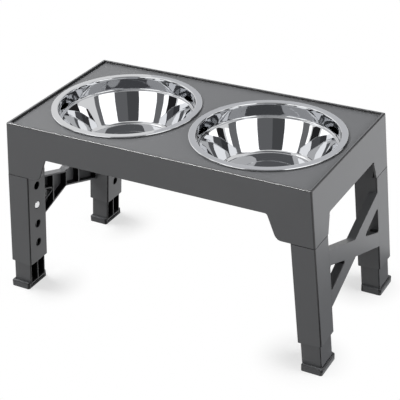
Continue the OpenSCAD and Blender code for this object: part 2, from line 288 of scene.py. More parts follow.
@dataclass(frozen=True)
class MouldedPlastic(Finish):
    """Injection-moulded polypropylene or rubber: an even colour with a fine spark-eroded grain.

    The outer faces keep the main colour, which is partly the plastic's own and partly the pale sheen of
    their grain painted in. The roundings are polished and shine, and their darker edge_shade_colour is
    painted shade for the dark reflections along edges. Faces that see little free space, in recesses and on
    the roundings that face the stand's middle, get painted shade: the near-black recess_shade_colour and a
    weaker reflection.

    Attributes:
        grain_mm: Width of the grain, drawn coarser than the real 0.1 mm so that it shows.
        grain_depth_mm: Height of the grain.
        grain_strength: How much of that height the light sees.
        cloud_mm: Width of the soft clouds in colour and gloss that the flow of the melt leaves.
        cloud: How much lighter the palest clouds are than the darkest, as a share of the colour.
        cloud_gloss: How far the clouds take the roughness up and down.
        ior: Index of refraction.
        shine: Specular level of the outer faces and the roundings.
        edge_shade_colour: Colour of the roundings, as an sRGB hex value.
        edge_roughness: Roughness of the roundings.
        recess_shade_colour: Colour of the recesses, as an sRGB hex value.
        recess_shine: Specular level of the recesses.
    """

    grain_mm: float = 0.7
    grain_depth_mm: float = 0.012
    grain_strength: float = 0.5
    cloud_mm: float = 45
    cloud: float = 0.06
    cloud_gloss: float = 0.04
    ior: float = 1.49
    shine: float = 0.5
    # Painted shade: the roundings are coloured darker than the faces.
    edge_shade_colour: str = "#303031"
    edge_roughness: float = 0.32
    # Painted shade: the faces that see little free space are coloured near black.
    recess_shade_colour: str = "#1c1c1d"
    recess_shine: float = 0.15

    def shade(self, tree: bpy.types.NodeTree, shader: bpy.types.Node) -> None:
        """Gives the satin gloss, the clouds, the grain and the polish of the roundings, and paints shade on
        the roundings and recesses.

        Args:
            tree: The material's node tree.
            shader: Its shader.
        """
        place = add_node(tree, "ShaderNodeTexCoord").outputs["Object"]
        clouds = add_node(tree, "ShaderNodeTexNoise",
                          {"Vector": place, "Scale": per_metre(self.cloud_mm), "Detail": CLOUD_DETAIL})
        darkest, palest = (tuple(v * (1 + s * self.cloud / 2) for v in linear(self.colour)[:3])
                           for s in (-1, 1))
        tint = add_node(tree, "ShaderNodeMix", {"Factor": clouds.outputs["Fac"], "A": (*darkest, 1.0),
                                                "B": (*palest, 1.0)}, data_type="RGBA")
        gloss = add_node(tree, "ShaderNodeMapRange",
                         {"Value": clouds.outputs["Fac"], "To Min": self.roughness - self.cloud_gloss,
                          "To Max": self.roughness + self.cloud_gloss})
        grain = add_node(tree, "ShaderNodeTexNoise",
                         {"Vector": place, "Scale": per_metre(self.grain_mm), "Detail": MARK_DETAIL})
        edge, recess = (add_node(tree, "ShaderNodeAttribute", attribute_name=mark.value).outputs["Fac"]
                        for mark in (Mark.EDGE, Mark.RECESS))
        relief = add_node(tree, "ShaderNodeMapRange",
                          {"Value": edge, "To Min": self.grain_strength, "To Max": 0.0})
        bump = add_node(tree, "ShaderNodeBump",
                        {"Height": grain.outputs["Fac"], "Strength": relief.outputs["Result"],
                         "Distance": self.grain_depth_mm * MM})
        # Painted shade: the roundings take edge_shade_colour and the shut-in faces take
        # recess_shade_colour, in place of the shade and dark reflections that fall there.
        rounded = add_node(tree, "ShaderNodeMix", {"Factor": edge, "A": tint.outputs["Result"],
                                                   "B": linear(self.edge_shade_colour)}, data_type="RGBA")
        colour = add_node(tree, "ShaderNodeMix", {"Factor": recess, "A": rounded.outputs["Result"],
                                                  "B": linear(self.recess_shade_colour)}, data_type="RGBA")
        rough = add_node(tree, "ShaderNodeMapRange",
                         {"Value": edge, "To Min": gloss.outputs["Result"], "To Max": self.edge_roughness})
        shine = add_node(tree, "ShaderNodeMapRange",
                         {"Value": recess, "To Min": self.shine, "To Max": self.recess_shine})
        tree.links.new(colour.outputs["Result"], shader.inputs["Base Color"])
        tree.links.new(rough.outputs["Result"], shader.inputs["Roughness"])
        tree.links.new(shine.outputs["Result"], shader.inputs["Specular IOR Level"])
        tree.links.new(bump.outputs["Normal"], shader.inputs["Normal"])
        shader.inputs["IOR"].default_value = self.ior


@dataclass(frozen=True)
class SpunSteel(Finish):
    """Stainless sheet, spun and mirror-polished: a clear reflection with faint rings about its axis.

    Attributes:
        axis_x_mm: Where the bowl's upright axis stands along the table.
        ring_mm: Spacing of the polishing rings, drawn coarser than the real ones so that they show.
        ring_depth_mm: Height of the rings.
        ring_strength: How much of that height the light sees.
        ring_gloss: How far the rings take the roughness up and down, as a share of it.
    """

    axis_x_mm: float = 0
    ring_mm: float = 1.6
    ring_depth_mm: float = 0.0002
    ring_strength: float = 0.3
    ring_gloss: float = 0.4

    def shade(self, tree: bpy.types.NodeTree, shader: bpy.types.Node) -> None:
        """Gives the metal and its rings.

        Args:
            tree: The material's node tree.
            shader: Its shader.
        """
        place = add_node(tree, "ShaderNodeTexCoord").outputs["Object"]
        centred = add_node(tree, "ShaderNodeMapping",
                           {"Vector": place, "Location": (-self.axis_x_mm * MM, 0, 0), "Scale": (1, 1, 0)})
        radius = add_node(tree, "ShaderNodeVectorMath", {0: centred.outputs["Vector"]}, operation="LENGTH")
        rings = add_node(tree, "ShaderNodeTexNoise",
                         {"W": radius.outputs["Value"], "Scale": per_metre(self.ring_mm),
                          "Detail": CLOUD_DETAIL}, noise_dimensions="1D")
        bump = add_node(tree, "ShaderNodeBump",
                        {"Height": rings.outputs["Fac"], "Strength": self.ring_strength,
                         "Distance": self.ring_depth_mm * MM})
        gloss = add_node(tree, "ShaderNodeMapRange",
                         {"Value": rings.outputs["Fac"], "To Min": self.roughness * (1 - self.ring_gloss),
                          "To Max": self.roughness * (1 + self.ring_gloss)})
        tree.links.new(bump.outputs["Normal"], shader.inputs["Normal"])
        tree.links.new(gloss.outputs["Result"], shader.inputs["Roughness"])
        shader.inputs["Metallic"].default_value = 1.0


@dataclass(frozen=True)
class PlatedSteel(Finish):
    """Spring steel or zinc-plated wire: a bright metal with short drawing marks.

    Attributes:
        mark_mm: Width of the drawing marks.
        stretch: How many times longer than wide the marks are, along the table's depth.
        mark_gloss: How far the marks take the roughness up and down.
    """

    mark_mm: float = 0.5
    stretch: float = 8
    mark_gloss: float = 0.08

    def shade(self, tree: bpy.types.NodeTree, shader: bpy.types.Node) -> None:
        """Gives the metal and its marks.

        Args:
            tree: The material's node tree.
            shader: Its shader.
        """
        place = add_node(tree, "ShaderNodeTexCoord").outputs["Object"]
        drawn = add_node(tree, "ShaderNodeMapping", {"Vector": place, "Scale": (1, 1 / self.stretch, 1)})
        marks = add_node(tree, "ShaderNodeTexNoise",
                         {"Vector": drawn.outputs["Vector"], "Scale": per_metre(self.mark_mm),
                          "Detail": MARK_DETAIL})
        gloss = add_node(tree, "ShaderNodeMapRange",
                         {"Value": marks.outputs["Fac"], "To Min": self.roughness - self.mark_gloss,
                          "To Max": self.roughness + self.mark_gloss})
        tree.links.new(gloss.outputs["Result"], shader.inputs["Roughness"])
        shader.inputs["Metallic"].default_value = 1.0


TABLE_PLASTIC = MouldedPlastic("moulded_polypropylene_table", "#626365", 0.36)
FRAME_PLASTIC = MouldedPlastic("moulded_polypropylene_frame", "#626365", 0.40)
INNER_PLASTIC = MouldedPlastic("moulded_polypropylene_inner_leg", "#5b5c5e", 0.42)
FOOT_RUBBER = MouldedPlastic("moulded_rubber_foot", "#58595b", 0.58, grain_mm=0.9, ior=1.52)
CLIP_STEEL = PlatedSteel("bright_spring_steel", "#dfe0e1", 0.22)
PIN_STEEL = PlatedSteel("zinc_plated_steel", "#b4b6b8", 0.34)
BOWL_COLOUR = "#cbccce"
BOWL_ROUGHNESS = 0.03


@dataclass
class MouldedPiece:
    """A rigid piece that keeps its node's form and gets the soft edges of the real one.

    Attributes:
        node: The node that the piece stands for.
        slot: The record's material slot.
        finish: What its surface is.
        edge_mm: Width of the rounding on its edges.
        edge_steps: Number of faces across that rounding.
    """

    node: str
    slot: str
    finish: Finish
    edge_mm: float
    edge_steps: int = 3

    MERGE_MM = 0.004  # points closer than this are one
    EDGE_DEG = 50  # an edge that turns more than this gets a rounding
    SMOOTH_DEG = 40  # one that turns less than this is shaded smooth
    FOLD_DEG = 72  # a face of a rounding that turns more than this from the form has folded over
    TRIES = 8  # rounds of taking folded roundings off
    FLAT_DEG = 2  # faces that turn less than this lie flat side by side
    NARROW_MM = 1.0  # a flat region narrower than this is a rounding
    RECESS_MM = 60  # how far a region looks for walls of its own piece
    OPEN_SHARE = 0.75  # a region that sees this much free space is an outer face
    SHUT_SHARE = 0.45  # one that sees this little lies in a recess
    LOOKS = 16  # directions that a face looks in
    LOOKED_FACES = 4  # faces of a region that look

    def build(self) -> bpy.types.Object:
        """Copies the node's form, joins its faces and rounds its edges.

        Returns:
            The finished piece, riding on the node's body.
        """
        source = frame["nodes"][self.node]
        piece = bpy.data.objects.new(f"{self.node}_moulded", source.data.copy())
        bpy.context.scene.collection.objects.link(piece)
        make_active(piece)
        bpy.ops.mesh.customdata_custom_splitnormals_clear()
        bpy.ops.object.mode_set(mode="EDIT")
        bpy.ops.mesh.select_all(action="SELECT")
        bpy.ops.mesh.remove_doubles(threshold=self.MERGE_MM * MM)
        bpy.ops.object.mode_set(mode="OBJECT")
        self.round_edges(piece)
        self.mark_edges_and_shade(piece)
        self.dress(piece)
        return piece

    def mark_edges_and_shade(self, piece: bpy.types.Object) -> None:
        """Marks the polished narrow roundings and the shut-in regions that the material paints with shade.

        A rounding that faces the middle of the stand, such as the inside of the rim, gets the full painted
        shade of a recess.

        Args:
            piece: The rounded piece.
        """
        form = bmesh.new()
        form.from_mesh(piece.data)
        form.normal_update()
        walls = BVHTree.FromBMesh(form)
        for mark in Mark:
            piece.data.attributes.new(mark.value, "FLOAT", "FACE")
        edges, recesses = (piece.data.attributes[mark.value].data for mark in (Mark.EDGE, Mark.RECESS))
        for region in self.flat_regions(form):
            inside = set(region)
            outline = sum(e.calc_length() for f in region for e in f.edges
                          if sum(other in inside for other in e.link_faces) == 1)
            narrow = 2 * sum(f.calc_area() for f in region) < self.NARROW_MM * MM * outline
            # How shut in the region is sets the strength of its painted shade: none at OPEN_SHARE, full at
            # SHUT_SHARE.
            shut = (self.OPEN_SHARE - self.open_share(region, walls)) / (self.OPEN_SHARE - self.SHUT_SHARE)
            for face in region:
                # Roundings that face the stand's middle get the full painted shade.
                inward = narrow and face.normal.xy.dot(face.calc_center_median().xy) < 0
                recesses[face.index].value = 1.0 if inward else min(max(shut, 0.0), 1.0)
                edges[face.index].value = float(narrow and shut <= 0)
        form.free()

    def flat_regions(self, form: bmesh.types.BMesh) -> list[list[bmesh.types.BMFace]]:
        """Groups the faces that lie flat side by side.

        Args:
            form: The rounded form.

        Returns:
            The groups, which hold every face once.
        """
        least = math.cos(math.radians(self.FLAT_DEG))
        free = set(form.faces)
        regions = []
        for seed in form.faces:
            if seed not in free:
                continue
            free.remove(seed)
            region = [seed]
            for face in region:
                for other in (o for e in face.edges for o in e.link_faces):
                    if other in free and other.normal.dot(seed.normal) > least:
                        free.remove(other)
                        region.append(other)
            regions.append(region)
        return regions

    def open_share(self, region: list[bmesh.types.BMFace], walls: BVHTree) -> float:
        """Tells how much of what a flat region faces is free of the piece's own walls.

        Args:
            region: The faces of the region.
            walls: The faces of the piece.

        Returns:
            The free share of the looks taken from its largest faces.
        """
        faces = sorted(region, key=lambda f: -f.calc_area())[:self.LOOKED_FACES]
        free = 0
        for face in faces:
            turn = face.normal.to_track_quat("Z", "X")
            start = face.calc_center_median() + face.normal * self.MERGE_MM * MM
            for k in range(self.LOOKS):
                rise = math.sqrt(1 - (k + 0.5) / self.LOOKS)
                spread = math.sqrt(1 - rise ** 2)
                round_to = k * math.pi * (3 - math.sqrt(5))  # the golden angle spreads the looks evenly
                way = turn @ Vector((spread * math.cos(round_to), spread * math.sin(round_to), rise))
                free += walls.ray_cast(start, way, self.RECESS_MM * MM)[0] is None
        return free / (len(faces) * self.LOOKS)

    def round_edges(self, piece: bpy.types.Object) -> None:
        """Rounds the sharp edges that have room for it, and keeps the flat faces flat to the eye.

        Args:
            piece: The joined copy of the node.
        """
        bevel = piece.modifiers.new("edges", "BEVEL")
        bevel.width = self.edge_mm * MM
        bevel.segments = self.edge_steps
        bevel.limit_method = "WEIGHT"
        bevel.use_clamp_overlap = False
        bevel.loop_slide = False
        self.choose_edges(piece)
        apply_modifiers(piece)
        bpy.ops.object.shade_smooth_by_angle(angle=math.radians(self.SMOOTH_DEG))
        shading = piece.modifiers.new("flat_faces", "WEIGHTED_NORMAL")
        shading.keep_sharp = True
        apply_modifiers(piece)

    def choose_edges(self, piece: bpy.types.Object) -> None:
        """Marks the sharp edges, and takes the mark off again where the rounding would fold over.

        Args:
            piece: The joined copy, with its live rounding.
        """
        form = bmesh.new()
        form.from_mesh(piece.data)
        faces = BVHTree.FromBMesh(form)
        sharp = [e for e in form.edges if e.calc_face_angle(0) > math.radians(self.EDGE_DEG)]
        reach = 2 * self.edge_mm * MM
        spots = [(e.index, e.verts[0].co.lerp(e.verts[1].co, k / steps)) for e in sharp
                 for steps in [1 + int(e.calc_length() / reach)] for k in range(steps + 1)]
        near = KDTree(len(spots))
        for number, (_, spot) in enumerate(spots):
            near.insert(spot, number)
        near.balance()
        weights = piece.data.attributes.new("bevel_weight_edge", "FLOAT", "EDGE").data
        for edge in sharp:
            weights[edge.index].value = 1
        for _ in range(self.TRIES):
            folds = self.folds(piece, faces, reach)
            for spot in folds:
                for _, number, _ in near.find_range(spot, reach):
                    weights[spots[number][0]].value = 0
            piece.data.update()
            if not folds:
                break
        form.free()

    def folds(self, piece: bpy.types.Object, faces: BVHTree, reach: float) -> list[Vector]:
        """Finds where the rounded piece has a face that looks away from the form it came from.

        Args:
            piece: The piece with its live rounding.
            faces: The faces of the form.
            reach: How far from the form a face of the rounding may be.

        Returns:
            The corners of such faces.
        """
        rounded = bmesh.new()
        rounded.from_object(piece, bpy.context.evaluated_depsgraph_get())
        bmesh.ops.triangulate(rounded, faces=rounded.faces)
        least = math.cos(math.radians(self.FOLD_DEG))
        corners = []
        for face in rounded.faces:
            close = faces.find_nearest_range(face.calc_center_median(), reach)
            if max((normal.dot(face.normal) for _, normal, _, _ in close), default=-1) < least:
                corners += [vertex.co.copy() for vertex in face.verts]
        rounded.free()
        return corners

    def dress(self, piece: bpy.types.Object) -> None:
        """Gives the piece its finish, body and slot, and hides the node that it stands for.

        Args:
            piece: The rounded piece.
        """
        self.finish.dress(piece)
        self.join(piece)
        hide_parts(self.node)
        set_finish(piece, self.slot)

    def join(self, piece: bpy.types.Object) -> None:
        """Lets the piece move with its node's body."""
        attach(piece, frame["nodes"][self.node]["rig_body"])


@dataclass
class SpringClip(MouldedPiece):
    """A strip bent to a U: its inner arm carries the button, and its outer arm lies against the leg's wall.

    Attributes:
        strip_mm: Thickness of the strip. Not used.
        spread_mm: Width of the U over both arms. Not used.
    """

    strip_mm: float = 0.8
    spread_mm: float = 22.1

    def join(self, piece: bpy.types.Object) -> None:
        """Bakes the strip's place into its mesh, which leaves it on no body.

        Args:
            piece: The rounded strip.
        """
        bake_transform(piece)


@dataclass
class SpunBowl:
    """A lift-out bowl: flat bottom, coned wall, step, upright band and a flange with a rolled edge.

    Attributes:
        side: Which end of the table it is at.
        sheet_mm: Thickness of the sheet.
        floor_mm: Radius of the bottom, to the corner of the wall.
        corner_mm: Outer radius of that corner.
        body_mm: Outer radius of the upright band.
        step_drop_mm: Depth of the step below the flange.
        step_mm: Width of the step.
        step_slope_deg: Slope of the step.
        step_bend_mm: Radius of the step's two bends.
        lip_mm: Radius where the band turns out into the flange.
        roll_mm: Radius of the rolled edge.
        ring_mm: Radius of the shallow ring pressed into the bottom.
        ring_width_mm: Width of that ring's flank.
        ring_rise_mm: Height of that ring.
        turns: Number of faces round the bowl.
    """

    side: str
    sheet_mm: float = 0.8
    floor_mm: float = 70
    corner_mm: float = 8
    body_mm: float = 95
    step_drop_mm: float = 21.2
    step_mm: float = 3.5
    step_slope_deg: float = 14
    step_bend_mm: float = 1.8
    lip_mm: float = 1.6
    roll_mm: float = 1.2
    ring_mm: float = 44
    ring_width_mm: float = 3
    ring_rise_mm: float = 0.7
    turns: int = 320

    # Share of the ring's width and of its height at each point of its flank, from the top down.
    FLANK = ((1, 1), (0.75, 0.93), (0.5, 0.5), (0.25, 0.07), (0, 0))
    # Stretches of each bend, and of the wall.
    CORNER_STEPS = 10
    WALL_STEPS = 6
    SHOULDER_STEPS = 5
    FOOT_STEPS = 6
    LIP_STEPS = 6
    ROLL_STEPS = 12
    # Flat stretches beside the bends, which keep their shading from spreading.
    FLOOR_HOLD_MM = 2
    BAND_LOW_HOLD_MM = 4
    BAND_HIGH_HOLD_MM = 3
    FLANGE_HOLD_MM = 1.5
    ROLL_END_DEG = -110  # where the rolled edge ends, 90 being its top
    DISC_INSET = 0.9  # share of the first disc's radius that a ring of faces takes up
    SMOOTH_DEG = 50  # an edge that turns less than this is shaded smooth

    def place(self) -> tuple[Vector, Vector]:
        """Gives the lowest and highest corner of the bowl's node."""
        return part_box(f"{self.side}_bowl")

    def profile(self) -> list[Ring]:
        """Works out the inside of the sheet from the middle of the bottom to the end of the roll.

        Returns:
            Radius and height of each ring, in metres.
        """
        low, high = self.place()
        rim_r = (high.x - low.x) / 2 / MM
        top, floor = high.z / MM, low.z / MM + self.sheet_mm
        body_r = self.body_mm - self.sheet_mm
        step_z = top - self.step_drop_mm + self.sheet_mm
        wall_r = body_r - self.step_mm
        lean = math.atan2(step_z - floor, wall_r - self.floor_mm + self.sheet_mm)
        inner_corner = self.corner_mm - self.sheet_mm
        start_r = self.floor_mm - self.sheet_mm - inner_corner * math.tan(lean / 2)
        points = [(self.ring_mm - self.ring_width_mm * wide, floor + self.ring_rise_mm * high_up)
                  for wide, high_up in self.FLANK]
        points.append((start_r - self.FLOOR_HOLD_MM, floor))
        points += self.arc((start_r, floor + inner_corner), inner_corner, -90, math.degrees(lean) - 90,
                           self.CORNER_STEPS)
        end_r, end_z = points[-1]
        points += [(end_r + (wall_r - end_r) * k / self.WALL_STEPS,
                    end_z + (step_z - end_z) * k / self.WALL_STEPS) for k in range(1, self.WALL_STEPS)]
        points += self.step(wall_r, body_r, step_z, math.degrees(lean))
        points += [(body_r, step_z + self.BAND_LOW_HOLD_MM),
                   (body_r, top - self.lip_mm - self.BAND_HIGH_HOLD_MM)]
        points += self.arc((body_r + self.lip_mm, top - self.lip_mm), self.lip_mm, 180, 90, self.LIP_STEPS)
        points += [(body_r + self.lip_mm + self.FLANGE_HOLD_MM, top),
                   (rim_r - self.roll_mm - self.FLANGE_HOLD_MM, top)]
        points += self.arc((rim_r - self.roll_mm, top - self.roll_mm), self.roll_mm, 90, self.ROLL_END_DEG,
                           self.ROLL_STEPS)
        return [(r * MM, z * MM) for r, z in points]

    def step(self, wall_r: float, body_r: float, step_z: float, lean_deg: float) -> list[Ring]:
        """Bends the wall out over the step and up into the band, in a soft S.

        Args:
            wall_r: Radius of the wall below the step.
            body_r: Radius of the band above it.
            step_z: Height of the step.
            lean_deg: Slope of the wall.

        Returns:
            Radius and height of each ring of the S.
        """
        bend, slope = self.step_bend_mm, self.step_slope_deg
        shoulder = self.arc((0, 0), bend, lean_deg + 90, slope + 90, self.SHOULDER_STEPS)
        shoulder = [(wall_r + r - shoulder[0][0], step_z + z - shoulder[-1][1]) for r, z in shoulder]
        run = body_r - bend * (1 - math.sin(math.radians(slope))) - shoulder[-1][0]
        foot_z = step_z + run * math.tan(math.radians(slope)) + bend * math.cos(math.radians(slope))
        return shoulder + self.arc((body_r - bend, foot_z), bend, slope - 90, 0, self.FOOT_STEPS)

    @staticmethod
    def arc(centre: Ring, radius: float, start_deg: float, end_deg: float, steps: int) -> list[Ring]:
        """Gives points along an arc.

        Args:
            centre: Its middle.
            radius: Its radius.
            start_deg: Angle of its first point.
            end_deg: Angle of its last point.
            steps: Number of stretches.

        Returns:
            Its points, in order.
        """
        turns = [math.radians(start_deg + (end_deg - start_deg) * k / steps) for k in range(steps + 1)]
        return [(centre[0] + radius * math.cos(t), centre[1] + radius * math.sin(t)) for t in turns]

    def build(self) -> bpy.types.Object:
        """Draws the bowl out of a disc, ring by ring, and gives the sheet its thickness.

        Returns:
            The finished bowl.
        """
        low, high = self.place()
        middle = (low + high) / 2
        rings = self.profile()
        radius, height = rings[0]
        deselect_all()
        bpy.ops.mesh.primitive_circle_add(vertices=self.turns, radius=radius, fill_type="NGON",
                                          location=(middle.x, middle.y, height))
        piece = bpy.context.object
        piece.name = piece.data.name = f"{self.side}_bowl_spun"
        bpy.ops.object.transform_apply(location=True, rotation=True, scale=True)
        bpy.ops.object.mode_set(mode="EDIT")
        bpy.ops.mesh.select_all(action="SELECT")
        bpy.ops.mesh.inset(thickness=radius * self.DISC_INSET, depth=0)
        bpy.ops.mesh.select_all(action="SELECT")
        bpy.ops.mesh.region_to_loop()
        for wide, up in rings[1:]:
            bpy.ops.mesh.extrude_edges_move(TRANSFORM_OT_translate={"value": (0, 0, up - height)})
            bpy.ops.transform.resize(value=(wide / radius, wide / radius, 1),
                                     center_override=(middle.x, middle.y, up))
            radius, height = wide, up
        bpy.ops.mesh.select_all(action="SELECT")
        bpy.ops.mesh.normals_make_consistent(inside=False)
        bpy.ops.object.mode_set(mode="OBJECT")
        self.thicken(piece)
        self.dress(piece)
        return piece

    def thicken(self, piece: bpy.types.Object) -> None:
        """Gives the drawn surface the thickness of the sheet, away from the bowl's inside.

        Args:
            piece: The drawn surface.
        """
        if piece.data.polygons[0].normal.z < 0:
            piece.data.flip_normals()
        sheet = piece.modifiers.new("sheet", "SOLIDIFY")
        sheet.thickness = self.sheet_mm * MM
        sheet.offset = -1
        apply_modifiers(piece)
        bpy.ops.object.shade_smooth_by_angle(angle=math.radians(self.SMOOTH_DEG))

    def dress(self, piece: bpy.types.Object) -> None:
        """Polishes the bowl and lets it stand for its node.

        Args:
            piece: The finished mesh.
        """
        low, high = self.place()
        SpunSteel(f"polished_stainless_{self.side}", BOWL_COLOUR, BOWL_ROUGHNESS,
                  axis_x_mm=(low.x + high.x) / 2 / MM).dress(piece)
        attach(piece, f"{self.side}_bowl_body")
        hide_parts(f"{self.side}_bowl")
        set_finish(piece, "bowl_steel")


@dataclass
class Feeder:
    """The whole stand, as its moulded pieces, bowls and hardware.

    Attributes:
        table_edge_mm: Width of the rounding on the table top's edges.
        frame_edge_mm: The same for the leg frames.
        inner_edge_mm: The same for the inner legs.
        foot_edge_mm: The same for the feet.
        clip_edge_mm: The same for the spring clips.
        pin_edge_mm: The same for the hinge pins.
    """

    table_edge_mm: float = 0.7
    frame_edge_mm: float = 0.7
    inner_edge_mm: float = 0.4
    foot_edge_mm: float = 1.2
    clip_edge_mm: float = 0.15
    pin_edge_mm: float = 0.3

    def parts(self) -> list[MouldedPiece]:
        """Lists the pieces that keep their nodes' form.

        Returns:
            The pieces, still to be built.
        """
        parts = [MouldedPiece("table_top", "table_plastic", TABLE_PLASTIC, self.table_edge_mm)]
        parts += [MouldedPiece(f"{side}_leg_frame", "frame_plastic", FRAME_PLASTIC, self.frame_edge_mm)
                  for side in SIDES]
        for corner in CORNERS:
            parts += [MouldedPiece(f"{corner}_inner_leg", "inner_leg_plastic", INNER_PLASTIC,
                                   self.inner_edge_mm),
                      MouldedPiece(f"{corner}_foot", "foot_rubber", FOOT_RUBBER, self.foot_edge_mm),
                      SpringClip(f"{corner}_button_clip", "clip_steel", CLIP_STEEL, self.clip_edge_mm),
                      MouldedPiece(f"{corner}_hinge_pin", "pin_steel", PIN_STEEL, self.pin_edge_mm)]
        return parts

    def build(self) -> None:
        """Builds and dresses every piece, and reports it."""
        for part in [*self.parts(), *(SpunBowl(side) for side in SIDES)]:
            piece = part.build()
            LOG.info("%s: %d faces", piece.name, len(piece.data.polygons))


@dataclass(frozen=True)
class PhotoCamera:
    """The camera at the photograph's place.

    Attributes:
        azimuth_deg: Turn round the object from straight ahead.
        elevation_deg: Height above the horizon.
        roll_deg: Tilt of the picture.
        distance: Distance to the target.
        target: What it looks at.
        focal_px: Focal length in pixels of the image.
        image_px: Side of the image.
    """

    azimuth_deg: float = 29.457
    elevation_deg: float = 29.036
    roll_deg: float = -1.848
    distance: float = 1.658
    target: Point = (-0.00283, 0.01016, 0.13047)
    focal_px: float = 1188.7
    image_px: float = 400

    def build(self) -> None:
        """Makes the camera and sets it as the scene's."""
        turn, roll = math.radians(self.azimuth_deg), math.radians(self.roll_deg)
        back = way_to(self.azimuth_deg, self.elevation_deg)
        right = Vector((math.cos(turn), math.sin(turn), 0))
        up = back.cross(right)
        across = right * math.cos(roll) + up * math.sin(roll)
        along = up * math.cos(roll) - right * math.sin(roll)
        lens = bpy.data.cameras.new("photo_camera")
        lens.lens = self.focal_px / self.image_px * lens.sensor_width
        camera = bpy.data.objects.new("photo_camera", lens)
        bpy.context.scene.collection.objects.link(camera)
        place = Matrix((across, along, back)).transposed().to_4x4()
        place.translation = Vector(self.target) + back * self.distance
        camera.matrix_world = place
        bpy.context.scene.camera = camera


@dataclass(frozen=True)
class Softbox:
    """A square lamp that looks at the object, and that reflections don't see: they see the cards.

    Attributes:
        name: Its name.
        azimuth_deg: Turn round the object, as for the camera.
        elevation_deg: Height above the horizon.
        distance: Distance from the object's middle.
        size: Side of its front.
        radiance: How bright its front is, where a white card in plain light is 1.
    """

    name: str
    azimuth_deg: float
    elevation_deg: float
    distance: float
    size: float
    radiance: float

    AIM = Vector((0, 0, 0.15))  # what it looks at: about the middle of the object

    def build(self) -> None:
        """Makes the lamp and turns it to the object."""
        away = way_to(self.azimuth_deg, self.elevation_deg)
        lamp = bpy.data.lights.new(self.name, "AREA")
        lamp.size = self.size
        lamp.energy = self.radiance * math.pi * self.size ** 2
        stand = bpy.data.objects.new(self.name, lamp)
        bpy.context.scene.collection.objects.link(stand)
        stand.location = self.AIM + away * self.distance
        stand.rotation_euler = away.to_track_quat("Z", "Y").to_euler()
        stand.visible_glossy = False


@dataclass(frozen=True)
class Card:
    """A card that only reflections see, as a studio sets round a mirror-bright object.

    Attributes:
        name: Its name.
        start: Its first corner on the floor plan.
        end: Its last corner on the floor plan.
        low: Height of its lower edge.
        high: Height of its upper edge, the same as the lower one for a card that lies flat.
        tone: Its grey.
        glow: How much brighter than a white card in plain light it is. A second reflection sees no more
            than DEEP_GLOW, which keeps its edges clean.
        only_plastic: True if it lights the plastic alone. Steel and rubber then see through it.
    """

    name: str
    start: Plan
    end: Plan
    low: float
    high: float
    tone: Tone
    glow: float = 1.0
    only_plastic: bool = False

    DEEP_GLOW = 2.0
    HALF = 0.5  # half the side of the plane that a card starts as

    def build(self) -> None:
        """Makes the card between its two places, out of the camera's and the lamps' sight."""
        deselect_all()
        bpy.ops.mesh.primitive_plane_add(size=2 * self.HALF)
        card = bpy.context.object
        card.name = self.name
        for vertex in card.data.vertices:
            along, rise = vertex.co.x + self.HALF, vertex.co.y + self.HALF
            across = rise if self.low == self.high else along
            vertex.co = (self.start[0] + (self.end[0] - self.start[0]) * along,
                         self.start[1] + (self.end[1] - self.start[1]) * across,
                         self.low + (self.high - self.low) * rise)
        card.data.materials.append(self.paint())
        card.visible_camera = card.visible_diffuse = card.visible_shadow = False
        card.visible_transmission = card.visible_volume_scatter = False
        if self.only_plastic:
            self.light_plastic(card)
        card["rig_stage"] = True

    def light_plastic(self, card: bpy.types.Object) -> None:
        """Lets a card light the plastic pieces alone.

        Args:
            card: The card.
        """
        takers = bpy.data.collections.new(f"{self.name}_takers")
        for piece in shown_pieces():
            if piece.get("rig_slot", "").endswith("_plastic"):
                takers.objects.link(piece)
        card.light_linking.receiver_collection = takers

    def paint(self) -> bpy.types.Material:
        """Makes the card's glow, and lets through what it doesn't light.

        Returns:
            The material.
        """
        made = blank_material(self.name)
        tree = made.node_tree
        path = add_node(tree, "ShaderNodeLightPath")
        level = add_node(tree, "ShaderNodeMapRange",
                         {"Value": path.outputs["Glossy Depth"], "From Min": 1.0, "From Max": 2.0,
                          "To Min": self.glow, "To Max": min(self.glow, self.DEEP_GLOW)})
        glow = add_node(tree, "ShaderNodeEmission", {"Color": linear(self.tone.value),
                                                     "Strength": level.outputs["Result"]})
        surface = glow.outputs["Emission"]
        if self.only_plastic:
            clear = add_node(tree, "ShaderNodeBsdfTransparent").outputs["BSDF"]
            surface = add_node(tree, "ShaderNodeAddShader", {0: surface, 1: clear}).outputs["Shader"]
        add_node(tree, "ShaderNodeOutputMaterial", {"Surface": surface})
        return made


